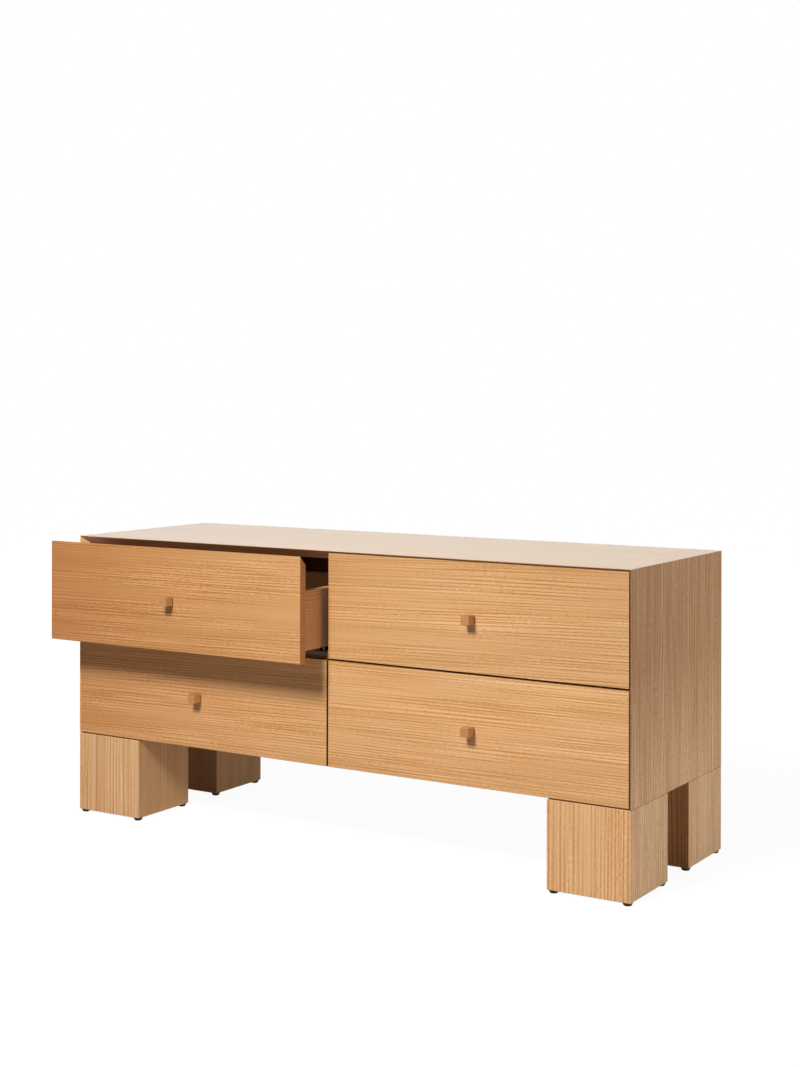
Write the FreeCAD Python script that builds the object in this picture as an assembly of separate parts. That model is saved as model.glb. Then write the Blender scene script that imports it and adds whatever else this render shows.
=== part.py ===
import FreeCAD, Part
import math
import os
from FreeCAD import Vector

# A low oak chest with four drawers, standing on four square block legs.
# The top and the two sides are mitred where they meet, and their front edges are bevelled back
# to a knife edge. The drawer fronts are bevelled to match and nest inside that frame, so the
# closed chest shows only thin shadow lines. Each drawer runs on a pair of three-part runners
# hidden under its box. The upper left drawer stands partly drawn out.
#
# Millimetres. +X is to the right of someone facing the chest, +Y goes in from the front to the
# back and +Z is up. The origin is on the floor, centred under the chest as it stands.

# Case
case_width = 1524.0
case_depth = 508.0
case_height = 501.0
panel_thickness = 19.0
shelf_thickness = 22.5
knife_edge_land = 1.2
case_arris = 0.8

# Back board, let into a rebate in the top and sides
back_thickness = 9.0
back_rebate = 9.5
back_edge_gap = 0.5

# Block legs and the glides under their corners
leg_side = 195.5
leg_height = 193.5
leg_arris = 1.2
glide_diameter = 22.0
glide_foot_diameter = 18.0
glide_height = 7.0
glide_inset = 12.0
glide_sides = 16

# Bolts that hold each leg, put in from inside the case
bolt_diameter = 8.0
bolt_head_width = 13.0
bolt_head_height = 5.3
bolt_spacing = 90.0
bolt_grip = 31.0

# Loose tenons in the square joints of the case
tenon_thickness = 6.0
tenon_width = 30.0
tenon_in_face = 12.0
tenon_in_end = 20.0
tenon_inset = 75.0
tenon_stagger = 40.0

# Splines across the mitres
spline_thickness = 4.0
spline_width = 12.0
spline_depth_in_mitre = 9.0
spline_end_inset = 40.0

# Drawer fronts
front_thickness = 21.0
reveal = 3.4
bottom_reveal = 2.8
front_stop_gap = 2.0
front_arris = 0.8

# Square knob on a smaller neck, and its machine screw
knob_side = 21.0
knob_depth = 27.5
knob_neck_side = 13.0
knob_neck_depth = 3.0
knob_arris = 1.0
upper_knob_drop = 3.5
knob_screw_diameter = 4.0
knob_screw_head = 8.0
knob_screw_head_height = 2.5
knob_screw_grip = 16.0

# Drawer boxes
box_side_thickness = 16.0
box_end_thickness = 16.0
box_bottom_thickness = 9.0
box_bottom_recess = 13.0
box_groove = 6.0
box_groove_slack = 0.5
box_rebate = 6.0
box_arris = 1.0
box_side_gap = 5.0
box_floor_gap = 15.5
box_headroom = 67.5
box_back_drop = 9.0
box_rear_gap = 30.0

# Runners: a fixed rail, a middle member and a member under the drawer, one inside the other
rail_width = 16.0
runner_sheet = 1.5
runner_gap = 0.5
runner_side_gap = 1.0
runner_front_gap = 1.0
runner_flange_height = 15.0
middle_lip_height = 9.0
drawer_member_depth = 11.0
notch_margin = 2.0

# Clearance round bolts, screws, tenons and splines
hole_clearance = 0.2

# How far the upper left drawer stands out
upper_left_opening = 107.5

# Places that follow from the sizes above
half_width = case_width / 2
front_y = (upper_left_opening + knob_depth - case_depth) / 2
back_y = front_y + case_depth
front_back_y = front_y + front_thickness
inner_front_y = front_back_y + front_stop_gap
back_board_y = back_y - back_thickness
leg_bottom_z = glide_height
case_bottom_z = leg_bottom_z + leg_height
case_top_z = case_bottom_z + case_height
middle_z = case_bottom_z + case_height / 2
inner_half_width = half_width - panel_thickness
floor_z = case_bottom_z + panel_thickness
ceiling_z = case_top_z - panel_thickness
shelf_bottom_z = middle_z - shelf_thickness / 2
shelf_top_z = middle_z + shelf_thickness / 2
half_divider = panel_thickness / 2
leg_from_centre_x = half_width - leg_side / 2
front_edge_inset = knife_edge_land + reveal
knob_screw_length = knob_screw_grip + front_thickness + box_end_thickness

ALONG_X = Vector(1, 0, 0)
ALONG_Y = Vector(0, 1, 0)
ALONG_Z = Vector(0, 0, 1)
LEFT, RIGHT = -1, 1
SIDES = (LEFT, RIGHT)


def block(x, y, z):
    """A rectangular solid from one value to another on each axis, given in either order."""
    low = Vector(min(x), min(y), min(z))
    size = Vector(max(x), max(y), max(z)) - low
    return Part.makeBox(size.x, size.y, size.z, low)


def prism(corners, travel):
    """A flat outline carried along a straight line."""
    outline = Part.makePolygon(corners + corners[:1])
    return Part.Face(outline).extrude(travel)


def rod(start, direction, diameter, length):
    """A round bar from its start point along a direction."""
    return Part.makeCylinder(diameter / 2, length, start, direction)


def polygon_corners(centre, width_across_flats, sides):
    """The corners of a level polygon with equal sides."""
    corner_radius = width_across_flats / 2 / math.cos(math.pi / sides)
    corners = []
    for number in range(sides):
        angle = math.pi * (2 * number + 1) / sides
        offset = Vector(math.cos(angle), math.sin(angle), 0) * corner_radius
        corners.append(centre + offset)
    return corners


def edges_in(shape, **planes):
    """The straight edges of a solid that lie in all the planes named, such as x=0.0, z=5.0."""
    return [edge for edge in shape.Edges
            if all(abs(getattr(vertex.Point, axis) - value) < 0.001
                   for vertex in edge.Vertexes for axis, value in planes.items())]


def eased(shape, size, *edge_groups):
    """The solid with a small chamfer along the edges given."""
    return shape.makeChamfer(size, [edge for group in edge_groups for edge in group])


def less(shape, cutters):
    """The solid with a list of other solids cut away."""
    return shape.cut(Part.makeCompound(cutters))


def only_solid(shape):
    """The single solid that a cut leaves."""
    return shape.Solids[0]


# Joints of the case. Each tenon, spline and bolt is placed once, and the panels are cut from the
# same places.

def tenon_joints():
    """Where the tenons cross the joints, with the directions into the end grain and across it."""
    joints = []
    for y in (inner_front_y + tenon_inset, back_board_y - tenon_inset):
        for side in SIDES:
            into_end = Vector(-side, 0, 0)
            for z in (case_bottom_z + panel_thickness / 2, middle_z):
                joints.append((Vector(side * inner_half_width, y, z), into_end, ALONG_Z))
            staggered_y = y + side * tenon_stagger / 2
            joints.append((Vector(side * half_divider, staggered_y, middle_z), -into_end, ALONG_Z))
        joints.append((Vector(0, y, floor_z), ALONG_Z, ALONG_X))
        joints.append((Vector(0, y, ceiling_z), -ALONG_Z, ALONG_X))
    return joints


def tenons(clearance=0.0):
    """The loose tenons, or their mortises when a clearance is given."""
    across = tenon_thickness / 2 + clearance
    along = tenon_width / 2 + clearance
    solids = []
    for point, into_end, thin_way in tenon_joints():
        start = point - into_end * (tenon_in_face + clearance)
        end = point + into_end * (tenon_in_end + clearance)
        low = start - thin_way * across - ALONG_Y * along
        high = end + thin_way * across + ALONG_Y * along
        solids.append(block((low.x, high.x), (low.y, high.y), (low.z, high.z)))
    return solids


def mitre_spline(side, clearance=0.0):
    """A thin strip square across the mitre between the top and a side, or its slot."""
    middle = Vector(side * inner_half_width, front_y + spline_end_inset - clearance, ceiling_z)
    out_along_mitre = Vector(side, 0, 1).normalize()
    square_to_mitre = Vector(side, 0, -1).normalize()
    middle = middle + out_along_mitre * spline_depth_in_mitre
    reach = square_to_mitre * (spline_width / 2 + clearance)
    half = out_along_mitre * (spline_thickness / 2 + clearance)
    corners = [middle - reach - half, middle + reach - half, middle + reach + half,
               middle - reach + half]
    length = case_depth - back_thickness - 2 * spline_end_inset + 2 * clearance
    return prism(corners, ALONG_Y * length)


def mitre_splines(clearance=0.0):
    return [mitre_spline(side, clearance) for side in SIDES]


def leg_centre(side, end_y, inward):
    """The middle of a leg's top, for the end of the case it stands under."""
    return Vector(side * leg_from_centre_x, end_y + inward * leg_side / 2, case_bottom_z)


def leg_bolt_places():
    """Points on the case floor where the leg bolts go down, one behind the other in each leg."""
    offset = bolt_spacing / 2
    places = []
    for side in SIDES:
        for end_y, inward in ((front_y, 1), (back_y, -1)):
            centre = leg_centre(side, end_y, inward)
            for along in (-offset, offset):
                places.append(Vector(centre.x, centre.y + along, floor_z))
    return places


def leg_bolt(place):
    """A hexagon-headed bolt from the case floor down into a leg."""
    head = prism(polygon_corners(place, bolt_head_width, 6), ALONG_Z * bolt_head_height)
    shank = rod(place, -ALONG_Z, bolt_diameter, panel_thickness + bolt_grip)
    return head.fuse(shank)


def leg_bolts():
    return [leg_bolt(place) for place in leg_bolt_places()]


def leg_bolt_holes():
    """Clearance holes through the case floor and on into the legs."""
    diameter = bolt_diameter + 2 * hole_clearance
    length = panel_thickness + bolt_grip + hole_clearance
    return [rod(place, -ALONG_Z, diameter, length) for place in leg_bolt_places()]


# Case

def back_board_space():
    """The rebate that the back board drops into."""
    reach = inner_half_width + back_rebate
    return block((-reach, reach), (back_board_y, back_y), (case_bottom_z, ceiling_z + back_rebate))


def case_slots():
    """Every mortise and slot in the case, each a little larger than what goes in it."""
    return tenons(hole_clearance) + mitre_splines(hole_clearance)


def front_bevel_top():
    """What is cut from under the top's front edge to leave the knife edge."""
    corners = [Vector(-half_width, front_y, case_top_z - knife_edge_land),
               Vector(-half_width, front_y + panel_thickness - knife_edge_land, ceiling_z),
               Vector(-half_width, front_y, ceiling_z)]
    return prism(corners, ALONG_X * case_width)


def front_bevel_side(side):
    """The same cut down the inside of a side panel's front edge."""
    outer = half_width - knife_edge_land
    corners = [Vector(side * outer, front_y, case_bottom_z),
               Vector(side * inner_half_width, front_y + panel_thickness - knife_edge_land,
                      case_bottom_z),
               Vector(side * inner_half_width, front_y, case_bottom_z)]
    return prism(corners, ALONG_Z * case_height)


def top_panel():
    """Mitred at both ends, bevelled at the front and rebated at the back."""
    corners = [Vector(-half_width, front_y, case_top_z),
               Vector(half_width, front_y, case_top_z),
               Vector(inner_half_width, front_y, ceiling_z),
               Vector(-inner_half_width, front_y, ceiling_z)]
    panel = prism(corners, ALONG_Y * case_depth)
    return less(panel, [front_bevel_top(), back_board_space()] + case_slots())


def side_panel(side):
    """Mitred to the top, bevelled at the front, and running down to the leg tops."""
    corners = [Vector(side * half_width, front_y, case_bottom_z),
               Vector(side * half_width, front_y, case_top_z),
               Vector(side * inner_half_width, front_y, ceiling_z),
               Vector(side * inner_half_width, front_y, case_bottom_z)]
    panel = prism(corners, ALONG_Y * case_depth)
    panel = eased(panel, case_arris, edges_in(panel, x=side * half_width, z=case_bottom_z))
    return less(panel, [front_bevel_side(side), back_board_space()] + case_slots())


def bottom_panel():
    """Between the sides, set back behind the drawer fronts, with the leg bolts through it."""
    panel = block((-inner_half_width, inner_half_width), (inner_front_y, back_board_y),
                  (case_bottom_z, floor_z))
    return less(panel, case_slots() + leg_bolt_holes())


def centre_divider():
    panel = block((-half_divider, half_divider), (inner_front_y, back_board_y),
                  (floor_z, ceiling_z))
    return less(panel, case_slots())


def shelf(side):
    """The fixed panel between an upper and a lower drawer."""
    panel = block((side * half_divider, side * inner_half_width), (inner_front_y, back_board_y),
                  (shelf_bottom_z, shelf_top_z))
    return less(panel, case_slots())


def back_board():
    reach = inner_half_width + back_rebate - back_edge_gap
    return block((-reach, reach), (back_board_y, back_y),
                 (case_bottom_z, ceiling_z + back_rebate - back_edge_gap))


# Legs

def leg(side, end_y, inward):
    """A square block, flush with the case outside, with every edge eased."""
    block_leg = block((side * half_width, side * (half_width - leg_side)),
                      (end_y, end_y + inward * leg_side), (leg_bottom_z, case_bottom_z))
    return less(eased(block_leg, leg_arris, block_leg.Edges), leg_bolt_holes())


def glide(x, y):
    """A round plastic foot under a leg, narrower at the floor, with its rim in flats."""
    foot = polygon_corners(Vector(x, y, 0), glide_foot_diameter, glide_sides)
    head = polygon_corners(Vector(x, y, glide_height), glide_diameter, glide_sides)
    rims = [Part.makePolygon(corners + corners[:1]) for corners in (foot, head)]
    return Part.makeLoft(rims, True, True)


def glides():
    reach = leg_side / 2 - glide_inset
    solids = []
    for side in SIDES:
        for end_y, inward in ((front_y, 1), (back_y, -1)):
            centre = leg_centre(side, end_y, inward)
            for across in (-reach, reach):
                for along in (-reach, reach):
                    solids.append(glide(centre.x + across, centre.y + along))
    return solids


# Drawers

class Compartment:
    """One of the four drawer openings, with the places that its drawer takes from it."""

    def __init__(self, row, side, opening):
        self.name = f"{row}_{'left' if side == LEFT else 'right'}"
        self.side = side
        self.opening = opening
        self.upper = row == "upper"
        self.floor_z = shelf_top_z if self.upper else floor_z
        self.ceiling_z = ceiling_z if self.upper else shelf_bottom_z
        self.wall_x = {LEFT: min(side * half_divider, side * inner_half_width),
                       RIGHT: max(side * half_divider, side * inner_half_width)}
        self.centre_x = (self.wall_x[LEFT] + self.wall_x[RIGHT]) / 2
        self.front_inner_x = side * reveal / 2
        self.front_outer_x = side * (half_width - front_edge_inset)
        self.front_bottom_z = middle_z + reveal / 2 if self.upper else case_bottom_z + bottom_reveal
        self.front_top_z = case_top_z - front_edge_inset if self.upper else middle_z - reveal / 2
        self.knob_x = (self.front_inner_x + self.front_outer_x) / 2
        drop = upper_knob_drop if self.upper else 0.0
        self.knob_z = (self.front_bottom_z + self.front_top_z) / 2 - drop
        self.box_bottom_z = self.floor_z + box_floor_gap
        self.box_top_z = self.ceiling_z - box_headroom
        self.board_z = self.box_bottom_z + box_bottom_recess
        self.box_back_y = back_board_y - box_rear_gap

    def from_wall(self, wall, distance):
        """The x at a distance in from the left or right wall of the opening."""
        return self.wall_x[wall] - wall * distance

    def box_outer_x(self, wall):
        return self.from_wall(wall, box_side_gap)

    def box_inner_x(self, wall):
        return self.from_wall(wall, box_side_gap + box_side_thickness)


def drawer_front(bay):
    """Bevelled on its outer edge, and the upper ones along the top too, to nest in the case."""
    x = (bay.front_inner_x, bay.front_outer_x)
    z = (bay.front_bottom_z, bay.front_top_z)
    front = block(x, (front_y, front_back_y), z)
    square_edges = [edges_in(front, x=bay.front_inner_x, y=front_y),
                    edges_in(front, y=front_y, z=bay.front_bottom_z)]
    if not bay.upper:
        square_edges.append(edges_in(front, y=front_y, z=bay.front_top_z))
    front = eased(front, front_arris, *square_edges)
    side_bevel = prism([Vector(bay.front_outer_x, front_y, z[0]),
                        Vector(bay.front_outer_x, front_back_y, z[0]),
                        Vector(bay.front_outer_x - bay.side * front_thickness, front_back_y, z[0])],
                       ALONG_Z * (z[1] - z[0]))
    cuts = [side_bevel, knob_screw_hole(bay, knob_screw_diameter)]
    if bay.upper:
        cuts.append(prism([Vector(x[0], front_y, z[1]),
                           Vector(x[0], front_back_y, z[1]),
                           Vector(x[0], front_back_y, z[1] - front_thickness)],
                          ALONG_X * (x[1] - x[0])))
    return less(front, cuts)


def square_bar(bay, side, y):
    """A square bar along the knob's centre line, from one y to another."""
    half = side / 2
    return block((bay.knob_x - half, bay.knob_x + half), y, (bay.knob_z - half, bay.knob_z + half))


def knob(bay):
    """A square block of the same oak, held off the front by a smaller square neck."""
    head_back_y = front_y - knob_neck_depth
    head = square_bar(bay, knob_side, (front_y - knob_depth, head_back_y))
    neck = square_bar(bay, knob_neck_side, (head_back_y, front_y))
    body = eased(head, knob_arris, head.Edges).fuse(neck)
    return less(body, [knob_screw_hole(bay, knob_screw_diameter)])


def knob_screw_hole(bay, diameter):
    """The screw's hole, from inside the drawer to the end of its grip in the knob."""
    start = Vector(bay.knob_x, front_back_y + box_end_thickness, bay.knob_z)
    return rod(start, -ALONG_Y, diameter + 2 * hole_clearance, knob_screw_length + hole_clearance)


def knob_screw(bay):
    """A pan-headed machine screw through the box and the front into the knob."""
    start = Vector(bay.knob_x, front_back_y + box_end_thickness, bay.knob_z)
    head = rod(start, ALONG_Y, knob_screw_head, knob_screw_head_height)
    return head.fuse(rod(start, -ALONG_Y, knob_screw_diameter, knob_screw_length))


def box_bottom_space(bay, slack=0.0):
    """The drawer bottom with its edges in the grooves, or the grooves with no slack."""
    reach = box_groove - slack
    return block((bay.box_inner_x(LEFT) - reach, bay.box_inner_x(RIGHT) + reach),
                 (front_back_y + box_end_thickness - reach, bay.box_back_y - box_end_thickness + reach),
                 (bay.board_z, bay.board_z + box_bottom_thickness))


def box_end_space(bay, y, drop=0.0):
    """A box front or back, let into the rebates at the ends of the sides."""
    return block((bay.box_inner_x(LEFT) - box_rebate, bay.box_inner_x(RIGHT) + box_rebate),
                 y, (bay.box_bottom_z, bay.box_top_z - drop))


def box_front_y(bay):
    return (front_back_y, front_back_y + box_end_thickness)


def box_back_y(bay):
    return (bay.box_back_y - box_end_thickness, bay.box_back_y)


def box_side(bay, wall):
    """A drawer side: let in at both ends, grooved for the bottom, its top edges eased."""
    outer, inner = bay.box_outer_x(wall), bay.box_inner_x(wall)
    panel = block((outer, inner), (front_back_y, bay.box_back_y), (bay.box_bottom_z, bay.box_top_z))
    panel = eased(panel, box_arris, edges_in(panel, x=outer, z=bay.box_top_z),
                  edges_in(panel, x=inner, z=bay.box_top_z))
    return less(panel, [box_bottom_space(bay), box_end_space(bay, box_front_y(bay)),
                        box_end_space(bay, box_back_y(bay), box_back_drop)])


def box_front(bay):
    """The inner front, which the drawer front is fixed to."""
    return less(box_end_space(bay, box_front_y(bay)),
                [box_bottom_space(bay), knob_screw_hole(bay, knob_screw_diameter)])


def box_back(bay):
    """The drawer back, lower than the sides and notched below to pass over the runners."""
    notches = [block((bay.box_outer_x(wall), bay.from_wall(wall, notch_reach())),
                     box_back_y(bay), (bay.box_bottom_z, bay.board_z)) for wall in SIDES]
    return less(box_end_space(bay, box_back_y(bay), box_back_drop),
                [box_bottom_space(bay)] + notches)


def box_bottom(bay):
    return box_bottom_space(bay, box_groove_slack)


# Runners. Each member wraps the one inside it: fixed rail, middle member, drawer member.

def step_out(width):
    """The width of the member that wraps one of the width given."""
    return width + 2 * (runner_gap + runner_sheet)


middle_width = step_out(rail_width)
drawer_member_width = step_out(middle_width)
runner_centre = box_side_gap + box_side_thickness + runner_side_gap + drawer_member_width / 2
drawer_member_top = box_floor_gap + box_bottom_recess
middle_top = drawer_member_top - runner_sheet - runner_gap
rail_top = middle_top - runner_sheet - runner_gap


def notch_reach():
    """How far in from the wall the notches in the drawer back go."""
    return runner_centre + drawer_member_width / 2 + notch_margin


def runner_member(bay, wall, outline, shift):
    """A folded steel section, drawn as distances from the wall and heights above the floor."""
    start_y = front_back_y + box_end_thickness + runner_front_gap - shift
    length = bay.box_back_y - front_back_y - box_end_thickness - runner_front_gap
    corners = [Vector(bay.from_wall(wall, distance), start_y, bay.floor_z + height)
               for distance, height in outline]
    return prism(corners, ALONG_Y * length)


def cabinet_outline():
    """A flange up the wall, a web along the floor and a hollow rail standing on it."""
    near = runner_centre - rail_width / 2
    far = runner_centre + rail_width / 2
    t = runner_sheet
    return [(0, 0), (near + t, 0), (near + t, rail_top - t), (far - t, rail_top - t), (far - t, 0),
            (far, 0), (far, rail_top), (near, rail_top), (near, t), (t, t),
            (t, runner_flange_height), (0, runner_flange_height)]


def middle_outline():
    """A hat over the rail, with a lip turned out along each lower edge."""
    near = runner_centre - middle_width / 2
    far = runner_centre + middle_width / 2
    lip = runner_gap + runner_sheet
    t = runner_sheet
    low = middle_lip_height
    return [(near - lip, low), (near + t, low), (near + t, middle_top - t),
            (far - t, middle_top - t), (far - t, low), (far + lip, low), (far + lip, low + t),
            (far, low + t), (far, middle_top), (near, middle_top), (near, low + t),
            (near - lip, low + t)]


def drawer_member_outline():
    """A channel upside down over the middle member, up against the drawer bottom."""
    near = runner_centre - drawer_member_width / 2
    far = runner_centre + drawer_member_width / 2
    t = runner_sheet
    low = drawer_member_top - drawer_member_depth
    return [(near, low), (near + t, low), (near + t, drawer_member_top - t),
            (far - t, drawer_member_top - t), (far - t, low), (far, low),
            (far, drawer_member_top), (near, drawer_member_top)]


def runner_pair(bay, outline, share):
    """The left and right members, moved out by their share of the drawer's opening."""
    shift = share * bay.opening
    return [runner_member(bay, wall, outline, shift) for wall in SIDES]


def drawer_parts(bay):
    """Every piece of one drawer by name, drawn closed."""
    return {
        "front": [drawer_front(bay)],
        "knob": [knob(bay)],
        "knob_screw": [knob_screw(bay)],
        "box_front": [box_front(bay)],
        "box_back": [box_back(bay)],
        "box_left_side": [box_side(bay, LEFT)],
        "box_right_side": [box_side(bay, RIGHT)],
        "box_bottom": [box_bottom(bay)],
    }


def case_parts():
    return {
        "top_panel": [top_panel()],
        "left_side_panel": [side_panel(LEFT)],
        "right_side_panel": [side_panel(RIGHT)],
        "bottom_panel": [bottom_panel()],
        "centre_divider": [centre_divider()],
        "left_shelf": [shelf(LEFT)],
        "right_shelf": [shelf(RIGHT)],
        "back_board": [back_board()],
        "case_tenons": tenons(),
        "mitre_splines": mitre_splines(),
        "front_left_leg": [leg(LEFT, front_y, 1)],
        "front_right_leg": [leg(RIGHT, front_y, 1)],
        "rear_left_leg": [leg(LEFT, back_y, -1)],
        "rear_right_leg": [leg(RIGHT, back_y, -1)],
        "leg_bolts": leg_bolts(),
        "glides": glides(),
    }


def chest():
    """All the sub-parts, each a list of the solids in its node."""
    parts = case_parts()
    bays = [Compartment("upper", LEFT, upper_left_opening), Compartment("upper", RIGHT, 0.0),
            Compartment("lower", LEFT, 0.0), Compartment("lower", RIGHT, 0.0)]
    for bay in bays:
        drawn_out = Vector(0, -bay.opening, 0)
        for piece, solids in drawer_parts(bay).items():
            parts[f"{bay.name}_{piece}"] = [solid.translated(drawn_out) for solid in solids]
        for piece, outline, share in (("cabinet_runners", cabinet_outline(), 0.0),
                                      ("middle_runners", middle_outline(), 0.5),
                                      ("drawer_runners", drawer_member_outline(), 1.0)):
            parts[f"{bay.name}_{piece}"] = runner_pair(bay, outline, share)
    return parts


os.makedirs("parts", exist_ok=True)
for name, solids in chest().items():
    single = [only_solid(solid) for solid in solids]
    shape = single[0] if len(single) == 1 else Part.makeCompound(single)
    shape.exportStep(f"parts/{name}.step")
    print(name, len(single), "solid(s)", round(sum(solid.Volume for solid in single)), "mm3")
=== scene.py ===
# %% [markdown]
# # A low oak chest of drawers
#
# The chest is 1.5 m wide and stands on four square block legs. Its top and sides are mitred, its
# four drawer fronts nest inside them, and the upper left drawer stands partly drawn out. The
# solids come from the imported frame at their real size. What is left for Blender is the finish:
# rift-cut oak veneer, steel runners, small fasteners, light and a camera.

# %% Load the frame
import bpy
import math
import numpy as np
from mathutils import Matrix, Vector


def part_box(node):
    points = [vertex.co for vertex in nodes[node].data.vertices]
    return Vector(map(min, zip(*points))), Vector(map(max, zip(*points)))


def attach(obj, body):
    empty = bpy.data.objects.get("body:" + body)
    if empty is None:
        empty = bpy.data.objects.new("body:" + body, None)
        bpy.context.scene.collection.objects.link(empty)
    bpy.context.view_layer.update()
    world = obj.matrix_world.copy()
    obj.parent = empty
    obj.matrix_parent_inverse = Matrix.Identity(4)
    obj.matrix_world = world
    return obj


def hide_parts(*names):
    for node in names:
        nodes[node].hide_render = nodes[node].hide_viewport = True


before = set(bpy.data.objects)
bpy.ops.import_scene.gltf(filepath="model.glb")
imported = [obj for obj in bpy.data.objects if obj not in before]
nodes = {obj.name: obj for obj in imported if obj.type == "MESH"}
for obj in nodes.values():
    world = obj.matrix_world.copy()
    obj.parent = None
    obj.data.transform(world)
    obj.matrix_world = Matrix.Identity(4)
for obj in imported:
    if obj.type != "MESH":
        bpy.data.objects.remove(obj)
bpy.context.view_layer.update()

# %% [markdown]
# The places that the camera, the lamps and the floor need are read from the frame, so they
# follow the chest if its size changes. The added pieces find theirs in the same way, later on.

# %% Places taken from the frame
front_face_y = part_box("lower_right_front")[0].y
top_face_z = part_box("top_panel")[1].z
leg_foot_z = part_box("front_right_leg")[0].z
floor_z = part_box("glides")[0].z
print("front face y", round(front_face_y, 4), "top face z", round(top_face_z, 4))

# %% [markdown]
# ## Camera
#
# A view camera was held level, a little above the top and to the right of the chest, and its
# lens was shifted down, so that upright edges stay upright in the picture. In Blender that is a
# level camera with a lens shift. Its place, heading and focal length were fitted to edges of the
# chest whose real size is known.

# %% Camera
PICTURE_LONG_SIDE = 1067
SENSOR = 36.0
FOCAL_IN_PIXELS = 1712.7
HORIZON_IN_PIXELS = 390.7
HEADING = 0.5569
TILT_OF_HORIZON = 0.0021
NEAREST_SEEN, FURTHEST_SEEN = 0.05, 60.0
CAMERA_PLACE = Vector((2.2324, front_face_y - 3.2707, leg_foot_z + 1.0649))


def add_camera():
    """A level camera turned left by its heading, with the lens shifted down."""
    data = bpy.data.cameras.new("camera")
    data.sensor_width = SENSOR
    data.lens = FOCAL_IN_PIXELS * SENSOR / PICTURE_LONG_SIDE
    data.shift_y = (HORIZON_IN_PIXELS - PICTURE_LONG_SIDE / 2) / PICTURE_LONG_SIDE
    data.clip_start, data.clip_end = NEAREST_SEEN, FURTHEST_SEEN
    camera = bpy.data.objects.new("camera", data)
    bpy.context.scene.collection.objects.link(camera)
    level = Matrix.Rotation(HEADING, 4, "Z") @ Matrix.Rotation(math.pi / 2, 4, "X")
    camera.matrix_world = (Matrix.Translation(CAMERA_PLACE) @ level
                           @ Matrix.Rotation(TILT_OF_HORIZON, 4, "Z"))
    bpy.context.scene.camera = camera
    return camera


camera = add_camera()
print("lens", round(camera.data.lens, 2), "mm, shift", round(camera.data.shift_y, 4))

# %% [markdown]
# ## Node maths written as Python
#
# A wood material is mostly arithmetic on noise. Wiring that arithmetic node by node is slow to
# read, so a small class wraps a socket and turns `a * b + c` into Math nodes. The same works
# with a plain number on either side, as in `1 - a`.

# %% Socket arithmetic
class Signal:
    """An output socket that can stand in a Python expression."""

    def __init__(self, shading, socket):
        self.shading = shading
        self.socket = socket

    def maths(self, operation, *values, clamp=False):
        """One Math node on the values given."""
        settings = {"operation": operation, "use_clamp": clamp}
        return self.shading.node("ShaderNodeMath", settings, dict(enumerate(values)))

    def __add__(self, other):
        return self.maths("ADD", self, other)

    def __radd__(self, other):
        return self.maths("ADD", other, self)

    def __sub__(self, other):
        return self.maths("SUBTRACT", self, other)

    def __rsub__(self, other):
        return self.maths("SUBTRACT", other, self)

    def __mul__(self, other):
        return self.maths("MULTIPLY", self, other)

    def __rmul__(self, other):
        return self.maths("MULTIPLY", other, self)

    def __abs__(self):
        return self.maths("ABSOLUTE", self)

    def sine(self):
        """The sine of an angle in radians."""
        return self.maths("SINE", self)

    def at_least(self, lowest):
        """The value, or the lowest one allowed where it falls below that."""
        return self.maths("MAXIMUM", self, lowest)

    def clamped(self):
        """The value held between 0 and 1."""
        return self.maths("ADD", self, 0.0, clamp=True)


print("operators that a socket takes: + - * and abs, with numbers or sockets")

# %% [markdown]
# Everything that isn't plain arithmetic goes through one method, `node`, which sets a node's
# options first and then fills its sockets. The other methods only give names to the nodes that
# wood needs most. Colours are mixed and tinted by Mix nodes, as a Math node would turn them grey.

# %% The nodes of a material
class Shading:
    """The nodes of one material or world."""

    def __init__(self, tree):
        self.tree = tree
        tree.nodes.clear()

    def node(self, kind, settings=None, sockets=None, output=0):
        """Adds any node: its options first, then values or links for its sockets."""
        made = self.tree.nodes.new(kind)
        for name, value in (settings or {}).items():
            setattr(made, name, value)
        for key, value in (sockets or {}).items():
            self.fill(made.inputs[key], value)
        return Signal(self, made.outputs[output]) if made.outputs else made

    def fill(self, socket, value):
        """Links a signal to a socket, or writes a plain value in it."""
        if isinstance(value, Signal):
            self.tree.links.new(value.socket, socket)
        elif socket.type == "RGBA":
            socket.default_value = (*value, 1.0)
        else:
            socket.default_value = value

    def coordinates(self, kind="Object"):
        """The point that is shaded, or with Normal the way that its face looks."""
        return self.node("ShaderNodeTexCoord", output=kind)

    def part(self, vector, axis):
        """The X, Y or Z part of a vector."""
        return self.node("ShaderNodeSeparateXYZ", None, {0: vector}, output="XYZ".index(axis))

    def vector(self, x, y, z):
        """A vector from its three parts."""
        return self.node("ShaderNodeCombineXYZ", None, {0: x, 1: y, 2: z})

    def noise(self, where, detail=2.0, scale=1.0):
        """Smooth noise with a mean near one half, its features about 1 / scale across."""
        sockets = {"Vector": where, "Scale": scale, "Detail": detail}
        return self.node("ShaderNodeTexNoise", {"noise_dimensions": "3D"}, sockets)

    def between(self, value, start, end):
        """0 up to a start, 1 from an end on, and a straight rise in between."""
        sockets = {0: value, 1: start, 2: end, 3: 0.0, 4: 1.0}
        return self.node("ShaderNodeMapRange", None, sockets)

    def mix(self, share, a, b, blend="MIX"):
        """One colour over another by a share."""
        settings = {"data_type": "RGBA", "blend_type": blend, "clamp_factor": True}
        return self.node("ShaderNodeMix", settings, {0: share, 6: a, 7: b}, output=2)

    def tinted(self, colour, tint):
        """A colour multiplied by a tint, channel by channel."""
        return self.mix(1.0, colour, tint, blend="MULTIPLY")


print("worlds and materials each get one Shading")

# %% [markdown]
# Each material starts empty and ends in one Principled shader, which glTF viewers know too, so
# two short functions open and close them all.

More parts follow.
